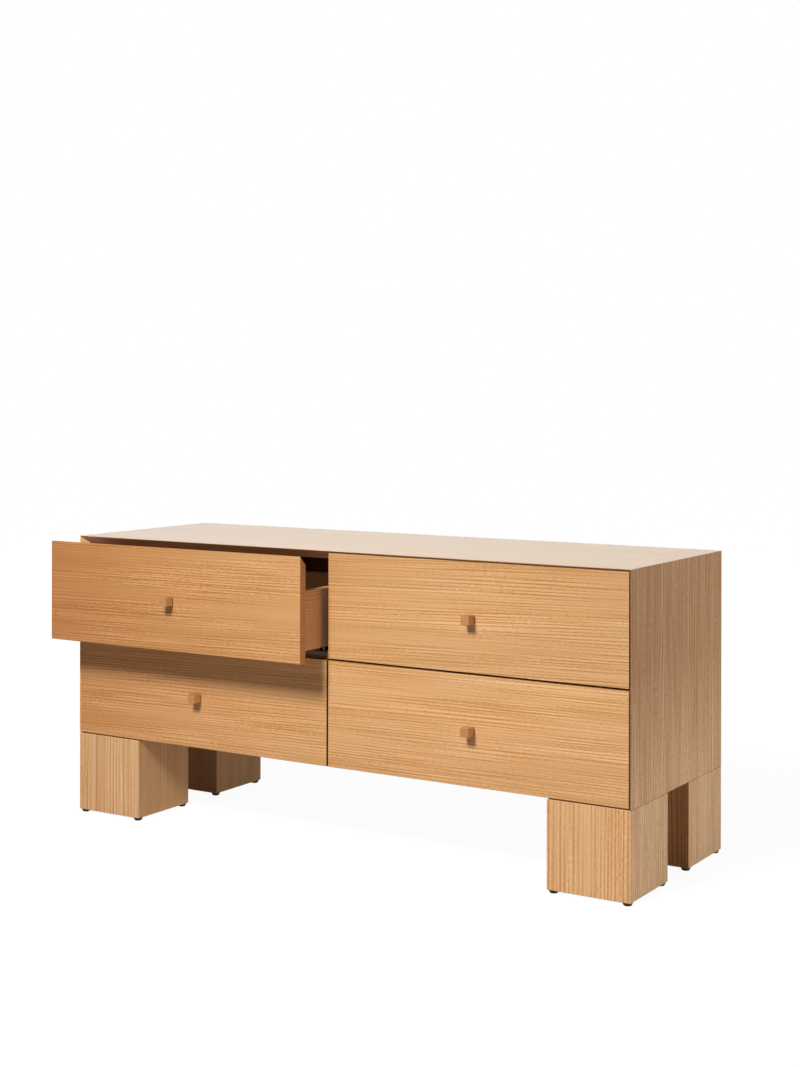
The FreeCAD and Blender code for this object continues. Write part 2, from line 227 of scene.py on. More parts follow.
# %% Open and close a material
def new_material(name):
    """An empty material and the shading that fills it."""
    material = bpy.data.materials.new(name)
    material.use_nodes = True
    return material, Shading(material.node_tree)


def finish_material(shading, **surface):
    """Closes a material with one Principled shader, its sockets named with underscores."""
    sockets = {name.replace("_", " "): value for name, value in surface.items()}
    shader = shading.node("ShaderNodeBsdfPrincipled", None, sockets)
    shading.node("ShaderNodeOutputMaterial", None, {"Surface": shader})


print("materials that came with the frame", len(bpy.data.materials))

# %% [markdown]
# ## Light
#
# One soft box of 0.8 m stands in front of the chest, 2.8 m up and 3.6 m from it. The shadow of
# each knob tells where: left knobs throw theirs to the left and right knobs to the right, so the
# lamp is near the middle, and how far the shadows fall and how soft they are give its height and
# its size. Wider, weaker lamps stand for the light that a white studio sends back from its
# ceiling and walls.

# %% Lamps
LAMPS = {
    "front_soft_box": {"place": (0.07, -2.89, 2.76), "size": (0.78, 0.78), "power": 120.0},
    "ceiling_bounce": {"place": (0.0, -2.0, 3.1), "size": (1.6, 1.0), "power": 9.0},
    "right_bounce": {"place": (3.2, 0.5, 0.3), "size": (1.6, 0.5), "power": 26.0},
    "left_bounce": {"place": (-3.2, 0.5, 0.6), "size": (1.6, 0.8), "power": 6.0},
    "back_bounce": {"place": (-1.8, 3.0, 1.1), "size": (4.4, 1.4), "power": 38.0},
}
AIM_HEIGHT = 0.65
chest_middle = Vector((0.0, front_face_y, top_face_z * AIM_HEIGHT))


def add_lamp(name, place, size, power):
    """A soft box of a width and a height that faces the middle of the chest's front."""
    data = bpy.data.lights.new(name, "AREA")
    data.shape = "RECTANGLE"
    data.size, data.size_y = size
    data.energy = power
    lamp = bpy.data.objects.new(name, data)
    bpy.context.scene.collection.objects.link(lamp)
    lamp.visible_camera = False
    lamp.location = place
    lamp.rotation_euler = (chest_middle - lamp.location).to_track_quat("-Z", "Y").to_euler()
    print(name, round((chest_middle - lamp.location).length, 2), "m away")


for name, lamp in LAMPS.items():
    add_lamp(name, **lamp)

# %% [markdown]
# ## Room and floor
#
# The room's walls are only a world colour. Rays that see it straight, in a gloss or through
# glass find plain white, and all others find black, so it lights nothing. The floor works the
# same way. The camera sees white paper that still darkens a little where the chest shades it,
# while the light that bounces up from it is that of mid-grey paper.

# %% Room
WHITE = (1.0, 1.0, 1.0)


def seen_or_mirrored(shading):
    """1 for rays that come straight from the camera, a gloss or a glass, else 0."""
    camera_ray = shading.node("ShaderNodeLightPath", output="Is Camera Ray")
    glossy_ray = shading.node("ShaderNodeLightPath", output="Is Glossy Ray")
    clear_ray = shading.node("ShaderNodeLightPath", output="Is Transmission Ray")
    return (camera_ray + glossy_ray + clear_ray).clamped()


def set_room():
    """A world that looks white, in a gloss too, and sheds no light of its own."""
    world = bpy.data.worlds.new("room")
    bpy.context.scene.world = world
    world.use_nodes = True
    shading = Shading(world.node_tree)
    background = shading.node("ShaderNodeBackground", None,
                              {"Color": WHITE, "Strength": seen_or_mirrored(shading)})
    shading.node("ShaderNodeOutputWorld", None, {"Surface": background})


bpy.context.scene.view_settings.view_transform = "Standard"
set_room()
print("view", bpy.context.scene.view_settings.view_transform)

# %% [markdown]
# What the camera sees of the floor is nearly all its own white. A faint diffuse part is added to
# it, and only that part shows the shade. Further from the chest the white rises to that of the
# room, so that no horizon shows.

# %% Floor
FLOOR_REACH = 30.0
FLOOR_COLOUR = (0.50, 0.50, 0.50)
SHOWN_WHITE = (0.955, 0.955, 0.955)
SHOWN_SHADE = (0.10, 0.10, 0.10)
FULL_WHITE_FROM, FULL_WHITE_TO = 1.0, 3.0


def floor_material():
    """Paper that bounces light as it is, and looks white apart from the chest's shade."""
    material, shading = new_material("pale_floor")
    paper = shading.node("ShaderNodeBsdfDiffuse", None, {"Color": FLOOR_COLOUR})
    shaded = shading.node("ShaderNodeBsdfDiffuse", None, {"Color": SHOWN_SHADE})
    reach = shading.node("ShaderNodeVectorMath", {"operation": "LENGTH"},
                         {0: shading.coordinates()}, output="Value")
    far = shading.between(reach, FULL_WHITE_FROM, FULL_WHITE_TO)
    white = shading.node("ShaderNodeEmission", None,
                         {"Color": shading.mix(far, SHOWN_WHITE, WHITE)})
    shown = shading.node("ShaderNodeAddShader", None, {0: white, 1: shaded})
    surface = shading.node("ShaderNodeMixShader", None,
                           {0: seen_or_mirrored(shading), 1: paper, 2: shown})
    shading.node("ShaderNodeOutputMaterial", None, {"Surface": surface})
    return material


def add_floor():
    """One large square at the height of the glides' feet."""
    mesh = bpy.data.meshes.new("floor")
    half = FLOOR_REACH / 2
    corners = [(-half, -half, floor_z), (half, -half, floor_z), (half, half, floor_z),
               (-half, half, floor_z)]
    mesh.from_pydata(corners, [], [(0, 1, 2, 3)])
    mesh.materials.append(floor_material())
    floor = bpy.data.objects.new("floor", mesh)
    bpy.context.scene.collection.objects.link(floor)


add_floor()
print("floor at", round(floor_z, 4), "with a side of", FLOOR_REACH, "m")

# %% [markdown]
# ## Oak veneer
#
# Rift-cut oak shows fine straight lines, where the growth rings meet the surface nearly square.
# They are about 7 mm apart on the fronts, 9 to 11 mm apart on the sides and legs, and hardly
# drift along their length. A scan of real veneer could be laid on each face. Formulas are used
# instead, because they have no seams, hold up close, and every board gets a figure of its own.
#
# The pattern is worked out from Object coordinates in metres, with one axis chosen as the grain,
# so it runs over edges and bevels as it would in solid wood and stays put when a drawer moves.

# %% A board and its grain
def scaled(colour, factors):
    """A colour with each channel multiplied by a factor of its own."""
    return tuple(channel * factor for channel, factor in zip(colour, factors))


GRAIN_ORDER = {"X": "XZY", "Y": "YZX", "Z": "ZXY"}


class Board:
    """Places in a board, in metres along its grain, across it and into its depth."""

    def __init__(self, shading, grain, shift, slant):
        """Grain is X, Y or Z. The shift varies the figure, and the slant slopes its lines."""
        self.shading = shading
        place = shading.coordinates()
        self.along, across, self.depth = [shading.part(place, axis) + move
                                          for axis, move in zip(GRAIN_ORDER[grain], shift)]
        self.across = across - self.along * slant
        self.across_rings = self.across + self.depth

    def lines(self, length, width, detail=0.0):
        """Noise stretched along the grain, its features one length long and one width wide."""
        where = self.shading.vector(self.along * (1 / length), self.across * (1 / width),
                                    self.depth * (1 / width))
        return self.shading.noise(where, detail)

    def rings(self, spacing, bend):
        """A sine wave with one period per spacing, its phase moved by a bend in radians."""
        return (self.across_rings * (2 * math.pi / spacing) + bend).sine()


print("axes along the grain, across it and into the board", GRAIN_ORDER)

# %% [markdown]
# Oak's lines have several causes, and each gets its own noise or wave: open pores, seen as short
# dashes, fine lines between the rings, and the dark line that ends each year's growth. That line
# comes and goes, so a noise sets its strength. Two more sets of rings, one closer and one wider,
# keep the spacing from looking even, and one slow noise bends all three so that they wander.

# %% Lines of the grain
RING_SPACING = 0.0066
WANDER = {"length": 1.1, "width": 0.07}
RING_STRENGTH_LENGTH = 0.14
FINE_LENGTH = 0.16
PORE_LENGTH = 0.010
# Widths and spacings, as shares of the spacing of the main rings
RING_STRENGTH_WIDTH = 3.0
FINE_WIDTH = 0.36
PORE_WIDTH = 0.25
CLOSE_SPACING = 0.80
WIDE_SPACING = 1.42
# How many radians the wandering noise bends each set of rings
MAIN_BEND = 24.0
CLOSE_BEND = -31.0
WIDE_BEND = 19.0
# How much each kind of line counts in the sum
FINE_SHARE = 0.8
CLOSE_SHARE = 0.20
WIDE_SHARE = 0.085
MAIN_SHARE = 0.90
MEAN_OF_RING_LINE = 0.31


def ring_lines(board, spacing, wander):
    """A narrow line for each ring: the cube of a wave from 0 to 1, less its mean."""
    wave = board.rings(spacing, wander * MAIN_BEND) * 0.5 + 0.5
    return wave * wave * wave - MEAN_OF_RING_LINE


def grain_lines(board, spacing, wander, pores, ring_line, crisp):
    """All lines added up, around 0: pale where it is positive, dark where it is negative."""
    strength = board.lines(RING_STRENGTH_LENGTH, spacing * RING_STRENGTH_WIDTH)
    fine = board.lines(FINE_LENGTH, spacing * FINE_WIDTH) - 0.5
    close_rings = board.rings(spacing * CLOSE_SPACING, wander * CLOSE_BEND)
    wide_rings = board.rings(spacing * WIDE_SPACING, wander * WIDE_BEND)
    return (fine * (FINE_SHARE * crisp) + (pores - 0.5) * crisp + wide_rings * WIDE_SHARE
            + close_rings * strength * CLOSE_SHARE - ring_line * strength * MAIN_SHARE)


print("rings", RING_SPACING * 1000, "mm apart, pores",
      round(RING_SPACING * PORE_WIDTH * 1000, 2), "mm wide")

# %% [markdown]
# No board is equally lively all over. In calm places the lines nearly vanish, and a few lines
# stand out as dark streaks, most of all on the legs. A face that was cut along the rings instead
# of across them is plainer than its neighbour, so the lines may fade on faces that look one way.

# %% Calm places, streaks and plain faces
CALM = {"length": 0.30, "width": 0.045}
# How far the calm noise swings the lines' strength, and the least of them that stays
CALM_SWING = 5.0
LEAST_OF_LINES = 0.2
# How far a streak strays in metres, how dark it is, and how it falls off from its middle
STREAK_WANDER = 0.004
STREAK_DEPTH = 0.7
STREAK_FALL = 1.2
# The normal's part along an axis where a face starts to count as facing it, and where it does
FACING_FROM, FACING_TO = 0.74, 0.94


def calmed(board, lines, calm):
    """Lines that are faint in some places and strong in others."""
    amount = (board.lines(**CALM) - 0.5) * (CALM_SWING * calm) + 1.0
    return lines * amount.at_least(LEAST_OF_LINES)


def streaked(board, tone, wander, streaks):
    """A tone with dark streaks, each with its place across the grain and its half width."""
    for place, half_width in streaks:
        gap = abs(board.across + wander * STREAK_WANDER - place)
        tone = tone - (STREAK_FALL - gap * (1 / half_width)).clamped() * STREAK_DEPTH
    return tone


def facing(shading, axis):
    """1 on faces that look along an axis and 0 on all others, by the normal's part along it."""
    upright = abs(shading.part(shading.coordinates("Normal"), axis))
    return shading.between(upright, FACING_FROM, FACING_TO)


print("a face looks along an axis within", round(math.degrees(math.acos(FACING_TO))), "degrees")

# %% [markdown]
# Sun and oil change oak's colour from one end of a board to the other, and the light falls off
# across the chest too. A face therefore takes a tint that fades along an axis, partly the
# veneer's own tone and partly painted shade. The edges and bevels beside it take one darker
# tint: end grain's own tone, or a near-black painted shade where they lie in a shadow gap.

# %% Tints of faces and edges
EDGE_TINT = (0.98, 0.92, 0.90)
# A near-black tint for edges and bevels that lie in the shadow gaps: painted shade.
GAP_SHADE_TINT = (0.30, 0.23, 0.17)


# A drift tint is partly the veneer's own tone and partly painted shade of the light's fall-off.
def drifting_tone_and_shade(shading, axis, start, end, tint):
    """A tint at one place of an axis that fades to none at another."""
    along = shading.part(shading.coordinates(), axis)
    return shading.mix(shading.between(along, start, end), tint, WHITE)


def face_tint(shading, axis, edge, tone_and_shade_drifts):
    """The edge's tint, apart from faces along an axis, where the drifting tints hold."""
    face = WHITE
    for drift in tone_and_shade_drifts:
        face = shading.tinted(face, drifting_tone_and_shade(shading, **drift))
    return shading.mix(facing(shading, axis), edge, face)


print("edge tint", EDGE_TINT, "gap tint", GAP_SHADE_TINT)

# %% [markdown]
# The sum of the lines picks a colour between a pale line and a dark one, which is also warmer.
# Wide bands and pinkish and golden patches lie under them. The finish is a thin matt oil, so the
# gloss is low, a little stronger in the pores, and the pores and rings are felt as fine bumps.

# %% Oiled oak
FRONT_OAK = (0.640, 0.340, 0.140)
MEAN_TONE = 0.475
BANDS = {"length": 0.80, "width": 0.026}
BAND_SHARE = 0.45
PALE_LINE = (1.16, 1.31, 1.50)
DARK_LINE = (0.78, 0.65, 0.46)
PATCHES = {"length": 0.20, "width": 0.05}
ALL_PINK, ALL_GOLD = 1 / 3, 2 / 3
PINK_PATCH = (1.015, 0.995, 0.985)
GOLD_PATCH = (0.99, 1.005, 1.00)
OIL_IOR = 1.5
OIL_ROUGHNESS = 0.53
PORE_GLOSS = 0.15
BUMP = {"Strength": 0.4, "Distance": 0.00008}
RING_BUMP = 0.3


def oak(name, colour, grain, shift=(0.0, 0.0, 0.0), spacing=RING_SPACING, slant=0.0,
        contrast=1.0, crisp=1.0, sway=1.0, calm=0.0, soft=0.0, streaks=(),
        faces=None, edge=EDGE_TINT, tone_and_shade_drifts=(), sheen=0.15):
    """Oiled oak of one base colour.

    grain, shift and slant place the figure, and spacing is that of its rings. contrast is the
    strength of all lines, crisp that of the fine ones, and sway how far they wander. calm makes
    them come and go, and streaks adds dark ones. faces is the axis that the board's main faces
    look along. soft fades the lines there, and drifts tints them from place to place, partly
    with the veneer's own tone and partly with painted shade, while all other faces take the tint
    edge: end grain's own tone, painted shade where they lie in a gap or in shade, or painted
    light on a lit bevel. sheen is the finish's gloss.
    """
    material, shading = new_material(name)
    board = Board(shading, grain, shift, slant)
    wander = (board.lines(**WANDER) - 0.5) * sway
    pores = board.lines(PORE_LENGTH, spacing * PORE_WIDTH, detail=1.0)
    ring_line = ring_lines(board, spacing, wander)
    lines = grain_lines(board, spacing, wander, pores, ring_line, crisp)
    if calm:
        lines = calmed(board, lines, calm)
    if soft:
        lines = lines * (1.0 - facing(shading, faces) * soft)
    bands = board.lines(**BANDS) - 0.5
    tone = MEAN_TONE + (lines + bands * BAND_SHARE) * contrast
    tone = streaked(board, tone, wander, streaks).clamped()
    wood = shading.mix(tone, scaled(colour, DARK_LINE), scaled(colour, PALE_LINE))
    patch = shading.between(board.lines(**PATCHES), ALL_PINK, ALL_GOLD)
    wood = shading.tinted(wood, shading.mix(patch, PINK_PATCH, GOLD_PATCH))
    if faces:
        wood = shading.tinted(wood, face_tint(shading, faces, edge, tone_and_shade_drifts))
    bump = shading.node("ShaderNodeBump", None, {**BUMP, "Height": pores - ring_line * RING_BUMP})
    finish_material(shading, Base_Color=wood, Roughness=OIL_ROUGHNESS - pores * PORE_GLOSS,
                    IOR=OIL_IOR, Specular_IOR_Level=sheen, Normal=bump)
    return material


materials = {}
print("pale line", [round(channel, 3) for channel in scaled(FRONT_OAK, PALE_LINE)],
      "dark line", [round(channel, 3) for channel in scaled(FRONT_OAK, DARK_LINE)])

# %% [markdown]
# The four fronts are four sheets of veneer, so each has its own part of the pattern, its own
# slope and its own share of calm places. All are a warm honey colour that deepens towards the
# left, partly the veneer's own tone and partly painted shade, and the upper ones are darker
# towards their top. The lower fronts are paler: painted light that makes up for the lamp's
# fall-off towards the floor. The edges that lie in the shadow gaps carry painted shade.

# %% Oak of the drawer fronts
def add_front_oak(bay, factors, tone_and_shade_drifts, **look):
    """The oak of one front: its grain along X, its colour as factors of the fronts' oak."""
    name = f"{bay}_oak"
    materials[name] = oak(name, scaled(FRONT_OAK, factors), "X", faces="Y", tone_and_shade_drifts=tone_and_shade_drifts, **look)
    print(name, "rises", round(look["slant"] * 1000), "mm in a metre")


case_left_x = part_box("left_side_panel")[0].x
divider_low, divider_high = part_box("centre_divider")
case_middle_x = (divider_low.x + divider_high.x) / 2
LEFT_BAYS = {"axis": "X", "start": case_left_x, "end": case_middle_x}
RIGHT_BAYS = {"axis": "X", "start": case_middle_x, "end": case_middle_x + 0.25}
add_front_oak("upper_left", (1.05, 1.03, 1.02),
              [{**LEFT_BAYS, "tint": (0.78, 0.63, 0.52)},
               {"axis": "Z", "start": 0.67, "end": 0.60, "tint": (0.965, 0.955, 0.94)}],
              shift=(2.9, 0.8, 0.0), slant=0.012, contrast=1.06, calm=1.0)
# The lower fronts' higher factors are painted light against the lamp's fall-off.
add_front_oak("lower_left", (1.19, 1.19, 1.24),
              [{**LEFT_BAYS, "tint": (0.85, 0.74, 0.65)}],
              shift=(4.1, 1.3, 0.0), slant=0.018, contrast=1.12, calm=0.6, edge=GAP_SHADE_TINT)
add_front_oak("upper_right", (1.135, 1.175, 1.245),
              [{**RIGHT_BAYS, "tint": (0.95, 0.91, 0.87)},
               {"axis": "Z", "start": 0.66, "end": 0.60, "tint": (0.93, 0.90, 0.87)}],
              slant=0.022, contrast=0.97, calm=0.4, edge=GAP_SHADE_TINT)
add_front_oak("lower_right", (1.27, 1.305, 1.40),
              [{**RIGHT_BAYS, "tint": (0.99, 0.97, 0.95)},
               {"axis": "X", "start": 0.15, "end": 0.60, "tint": (0.945, 0.94, 0.935)}],
              shift=(1.7, 0.4, 0.0), slant=0.010, contrast=1.03, calm=0.4, edge=GAP_SHADE_TINT)

# %% [markdown]
# The top and sides are paler and greyer than the fronts. The top's lines run from left to right
# and hardly show, because it is seen at a flat angle where the oil shines more. The grain of the
# sides stands upright and is wider, and they are painted a little darker towards the top and the
# front, as painted shade. The bevel under the top's front edge is painted darker, as painted
# shade, and the bevels of the left side lighter, as painted light where the lamp reaches them.

# %% Oak of the top and sides
WIDE_RINGS = 0.0105
SIDE_SHEEN = 0.1
SIDE_OAK = scaled(FRONT_OAK, (1.29, 1.435, 1.81))
# The side drifts darken the sides towards the top and the front: painted shade.
SIDE_SHADE_DRIFTS = [{"axis": "Z", "start": 0.48, "end": 0.24, "tint": (0.742, 0.672, 0.592)},
               {"axis": "Y", "start": -0.33, "end": 0.12, "tint": (0.885, 0.87, 0.855)}]
TOP_DRIFTS = [{"axis": "X", "start": -0.76, "end": 0.76, "tint": (0.864, 0.872, 0.96)}]
# The top's edge tint darkens the bevel under its front edge: painted shade.
materials["top_oak"] = oak("top_oak", scaled(FRONT_OAK, (1.045, 1.287, 1.646)), "X",
                           shift=(0.7, 0.3, 0.2), contrast=0.45, faces="Z",
                           edge=(0.636, 0.402, 0.314), tone_and_shade_drifts=TOP_DRIFTS, sheen=0.68)
# The right side's bevels, in the gaps beside the fronts, take the gaps' painted shade.
materials["side_oak"] = oak("side_oak", SIDE_OAK, "Z", shift=(0.2, 0.9, 0.4),
                            spacing=WIDE_RINGS, contrast=1.3, faces="X", edge=GAP_SHADE_TINT,
                            tone_and_shade_drifts=SIDE_SHADE_DRIFTS, sheen=SIDE_SHEEN)
# The left side's edge tint lightens its bevels: painted light where the lamp reaches them.
materials["left_side_lit_bevel_oak"] = oak("left_side_lit_bevel_oak", SIDE_OAK, "Z", shift=(0.5, 0.1, 0.7),
                                 spacing=WIDE_RINGS, contrast=1.0, faces="X",
                                 edge=(1.12, 1.09, 1.08), tone_and_shade_drifts=SIDE_SHADE_DRIFTS, sheen=SIDE_SHEEN)
print("side oak", [round(channel, 3) for channel in SIDE_OAK])

# %% [markdown]
# The legs are boxes of the same veneer with upright grain. Their lines are wide apart and
# straight, and a few are dark streaks. The left legs are plain on their sides and strongly lined
# in front, as where a block is veneered from two different sheets. The legs' oak is paler than
# the fronts', partly as painted light against the lamp's fall-off near the floor. The front left
# leg's sides are painted paler than its front, as painted light, and the rear left leg is painted
# darker, most of all in front, as painted shade under the case.

# %% Oak of the legs
LEG_RINGS = 0.0092
FINE_STREAK = 0.00125
BROAD_STREAK = 0.0034
# Paler than the fronts' oak, partly as painted light against the fall-off near the floor.
materials["leg_oak"] = oak("leg_oak", scaled(FRONT_OAK, (1.30, 1.47, 1.86)), "Z",
                           spacing=LEG_RINGS, contrast=1.4, crisp=0.8, sway=0.6, calm=0.4,
                           streaks=((0.599, FINE_STREAK), (0.7455, FINE_STREAK)),
                           faces="X", edge=(1.0, 0.94, 0.86))
# The front left leg's sides are painted paler than its front: painted light.
materials["left_leg_lit_oak"] = oak("left_leg_lit_oak", scaled(FRONT_OAK, (1.45, 1.54, 1.79)), "Z",
                                spacing=0.0110, contrast=1.08, crisp=0.6, sway=0.9, calm=0.6,
                                soft=0.7, streaks=((-0.7035, BROAD_STREAK),),
                                faces="X", edge=(0.83, 0.845, 0.87))
# The rear left leg's oak is darker and its front darker still: painted shade under the case.
materials["far_leg_shaded_oak"] = oak("far_leg_shaded_oak", scaled(FRONT_OAK, (1.17, 1.18, 1.32)), "Z",
                               shift=(0.4, 0.2, 0.1), spacing=LEG_RINGS, contrast=0.8,
                               crisp=0.7, soft=0.7, faces="X", edge=(0.70, 0.73, 0.78))
print("rings on the legs", LEG_RINGS * 1000, "mm apart")

# %% [markdown]
# Solid oak shows where veneer ends: in the knobs, the drawer boxes and the inside of the case.
# It is darker and redder. The inside of the case is painted darkest, as painted shade where
# little light gets in, and the bottom panel's front edge in the gap under the fronts darker
# still.
# A knob's sides get far less light than its front, so their oak is painted paler than the
# front's to make them look nearly as bright: painted light.

# %% Oak of the knobs, the boxes and the inside
INNER_SHADE_OAK = (0.42, 0.26, 0.14)
# The knob's sides are painted paler than its front: painted light.
materials["knob_oak"] = oak("knob_oak", (0.75, 0.41, 0.18), "X", contrast=0.4, faces="X",
                            edge=(0.74, 0.66, 0.56))
# The inside's oak is painted dark, and the bottom panel's front edge darker still: painted shade.
materials["inner_oak"] = oak("inner_oak", INNER_SHADE_OAK, "X")
materials["bottom_shade_oak"] = oak("bottom_shade_oak", INNER_SHADE_OAK, "X", faces="Z", edge=(0.45, 0.40, 0.35))
materials["drawer_oak"] = oak("drawer_oak", (0.77, 0.44, 0.235), "Y", contrast=0.5, calm=0.5)
materials["drawer_end_oak"] = oak("drawer_end_oak", (0.54, 0.37, 0.23), "X", contrast=0.6)
print("oak materials", len(materials))

# %% [markdown]
# ## Metal and plastic
#
# The runners are pressed from zinc-plated sheet, whose crystals make a faint spangle. The small
# screws are plated too, and darker. The glides are moulded plastic, with the fine matt texture
# that a mould gives. One small noise per material draws both the colour and the roughness.

# %% Metal and plastic
SPANGLES_PER_METRE = 300.0
SPANGLE_SHADE = (0.8, 0.8, 0.8)
PLATE_ROUGHNESS, PLATE_ROUGHNESS_SWING = 0.28, 0.12
MOULD_GRAINS_PER_METRE = 1500.0
MOULD_BUMP = {"Strength": 0.3, "Distance": 0.0002}
DARK_PLASTIC = (0.018, 0.012, 0.008)
PALE_PLASTIC = (0.032, 0.022, 0.016)
PLASTIC_ROUGHNESS, PLASTIC_ROUGHNESS_SWING = 0.6, 0.1
PLASTIC_SHEEN = 0.2


def zinc(name, colour):
    """Zinc plate with a faint spangle."""
    material, shading = new_material(name)
    grains = shading.noise(shading.coordinates(), scale=SPANGLES_PER_METRE)
    tone = shading.mix(grains, scaled(colour, SPANGLE_SHADE), colour)
    roughness = PLATE_ROUGHNESS + grains * PLATE_ROUGHNESS_SWING
    finish_material(shading, Base_Color=tone, Metallic=1.0, Roughness=roughness)
    return material


def black_plastic(name):
    """Moulded plastic with a fine matt texture."""
    material, shading = new_material(name)
    grains = shading.noise(shading.coordinates(), scale=MOULD_GRAINS_PER_METRE)
    tone = shading.mix(grains, DARK_PLASTIC, PALE_PLASTIC)
    roughness = PLASTIC_ROUGHNESS + grains * PLASTIC_ROUGHNESS_SWING
    bump = shading.node("ShaderNodeBump", None, {**MOULD_BUMP, "Height": grains})
    finish_material(shading, Base_Color=tone, Roughness=roughness,
                    Specular_IOR_Level=PLASTIC_SHEEN, Normal=bump)
    return material


materials["steel"] = zinc("steel", (0.62, 0.63, 0.65))
materials["screw_steel"] = zinc("screw_steel", (0.28, 0.26, 0.23))
materials["plastic"] = black_plastic("plastic")
print("materials", len(materials))

# %% [markdown]
# ## Dress the solids
#
# The solids of the frame have the right shapes already, so they keep their meshes and only get
# these materials. A table from node to material says it all, with one part for the case and one
# that repeats for each drawer.

# %% Give each node its material
BAYS = ("upper_left", "upper_right", "lower_left", "lower_right")
CASE_FINISHES = {
    "top_panel": "top_oak", "left_side_panel": "left_side_lit_bevel_oak", "right_side_panel": "side_oak",
    "bottom_panel": "bottom_shade_oak", "centre_divider": "inner_oak", "left_shelf": "inner_oak",
    "right_shelf": "inner_oak", "back_board": "inner_oak", "case_tenons": "drawer_oak",
    "mitre_splines": "drawer_oak", "front_left_leg": "left_leg_lit_oak",
    "front_right_leg": "leg_oak", "rear_left_leg": "far_leg_shaded_oak", "rear_right_leg": "leg_oak",
    "leg_bolts": "steel", "glides": "plastic",
}
DRAWER_FINISHES = {
    "knob": "knob_oak", "knob_screw": "steel", "box_front": "drawer_end_oak",
    "box_back": "drawer_end_oak", "box_left_side": "drawer_oak", "box_right_side": "drawer_oak",
    "box_bottom": "drawer_end_oak", "cabinet_runners": "steel", "middle_runners": "steel",
    "drawer_runners": "steel",
}


def dress(node, material):
    """Puts one material in all the slots of a CAD node."""
    data = nodes[node].data
    data.materials.clear()
    data.materials.append(materials[material])


finishes = dict(CASE_FINISHES)
for bay in BAYS:
    finishes[f"{bay}_front"] = f"{bay}_oak"
    finishes.update({f"{bay}_{part}": material for part, material in DRAWER_FINISHES.items()})
for node, material in finishes.items():
    dress(node, material)
print("nodes with no finish", sorted(set(nodes) - set(finishes)))

# %% [markdown]
# ## Turned and pressed small parts
#
# Glides and screw heads are all turned about an axis. One function builds them: it takes rings
# from the foot to the crown, each with a radius and a height, and the first and last are points
# on the axis. A ring's radius may change with the angle, which is how a round head gets its
# cross-shaped recess without any cutting.

# %% Turned shapes
def turned(rings, angles):
    """A closed shape round the z axis: its points, its triangles and its four-sided faces.

    Each ring's points stand at its radius along every angle. Neighbouring rings are joined by
    four-sided faces, and the first and last ring are single points joined by triangles.
    """
    steps = len(angles)
    heights = np.array([height for _, height in rings])
    radii = np.array([np.broadcast_to(radius, steps) for radius, _ in rings[1:-1]])
    level = np.broadcast_to(heights[1:-1, None], radii.shape)
    round_points = np.stack([radii * np.cos(angles), radii * np.sin(angles), level], axis=-1)
    points = np.vstack([[(0.0, 0.0, heights[0])], round_points.reshape(-1, 3),
                        [(0.0, 0.0, heights[-1])]])
    here = np.arange(steps) + 1
    there = np.roll(here, -1)
    foot = np.stack([np.zeros_like(here), there, here], axis=1)
    starts = np.arange(len(radii) - 1)[:, None] * steps
    walls = np.stack([here + starts, there + starts, there + starts + steps,
                      here + starts + steps], axis=-1).reshape(-1, 4)
    last = (len(radii) - 1) * steps
    crown = np.stack([here + last, there + last, np.full(steps, len(points) - 1)], axis=1)
    return points, np.vstack([foot, crown]), walls


peg = turned([(0.0, 0.0), (1.0, 0.0), (1.0, 1.0), (0.0, 1.0)], np.arange(4) * np.pi / 2)
print("a peg with four sides has", len(peg[0]), "points,", len(peg[1]), "triangles and",
      len(peg[2]), "walls")

# %% [markdown]
# The same glide or screw is needed many times. All its copies go into one mesh, which is one
# piece that rides on one body, and their points and faces are worked out as whole arrays.

# %% Copies of a shape
def add_copies(name, shape, places, axes, material, body, replaced=()):
    """One mesh with a copy of a shape at each place.

    The shape's points are turned so that its x, y and z axes point along those given, and each
    copy is these points plus its place. The faces of a copy count on from the one before.
    """
    points, triangles, walls = shape
    turned_points = points @ np.array(axes, dtype=float)
    all_points = (np.array(places)[:, None, :] + turned_points[None]).reshape(-1, 3)
    first_points = (np.arange(len(places)) * len(points))[:, None, None]
    faces = ((triangles + first_points).reshape(-1, 3).tolist()
             + (walls + first_points).reshape(-1, 4).tolist())
    mesh = bpy.data.meshes.new(name)
    mesh.from_pydata(all_points.tolist(), [], faces)
    mesh.materials.append(materials[material])
    piece = bpy.data.objects.new(name, mesh)
    bpy.context.scene.collection.objects.link(piece)
    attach(piece, body)
    if replaced:
        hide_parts(*replaced)
    print(name, len(places), "copies", len(faces), "faces")


UPRIGHT = [(1, 0, 0), (0, 1, 0), (0, 0, 1)]
FACING_BACK = [(1, 0, 0), (0, 0, -1), (0, 1, 0)]
FACING_RIGHT = [(0, 0, -1), (0, 1, 0), (1, 0, 0)]
FACING_LEFT = [(0, 0, 1), (0, 1, 0), (-1, 0, 0)]
print("turns that keep a shape's faces outward",
      [round(np.linalg.det(axes)) for axes in (UPRIGHT, FACING_BACK, FACING_RIGHT, FACING_LEFT)])

# %% [markdown]
# Under each leg corner stands a moulded black glide. It has a straight collar against the leg
# and a foot that draws in to a rounded edge, so that it slides over a carpet. The solid glides
# have sixteen sides, and these turned ones take their places and their size.

# %% Glides
GLIDE_STEPS = 48
ROUNDING_STEPS = 6
GLIDE_COLLAR = 0.011
GLIDE_FOOT = 0.009
GLIDE_ROUNDING = 0.0015
GLIDE_STEP = 0.0005
GLIDE_STEP_FROM, GLIDE_STEP_TO = 0.62, 0.70


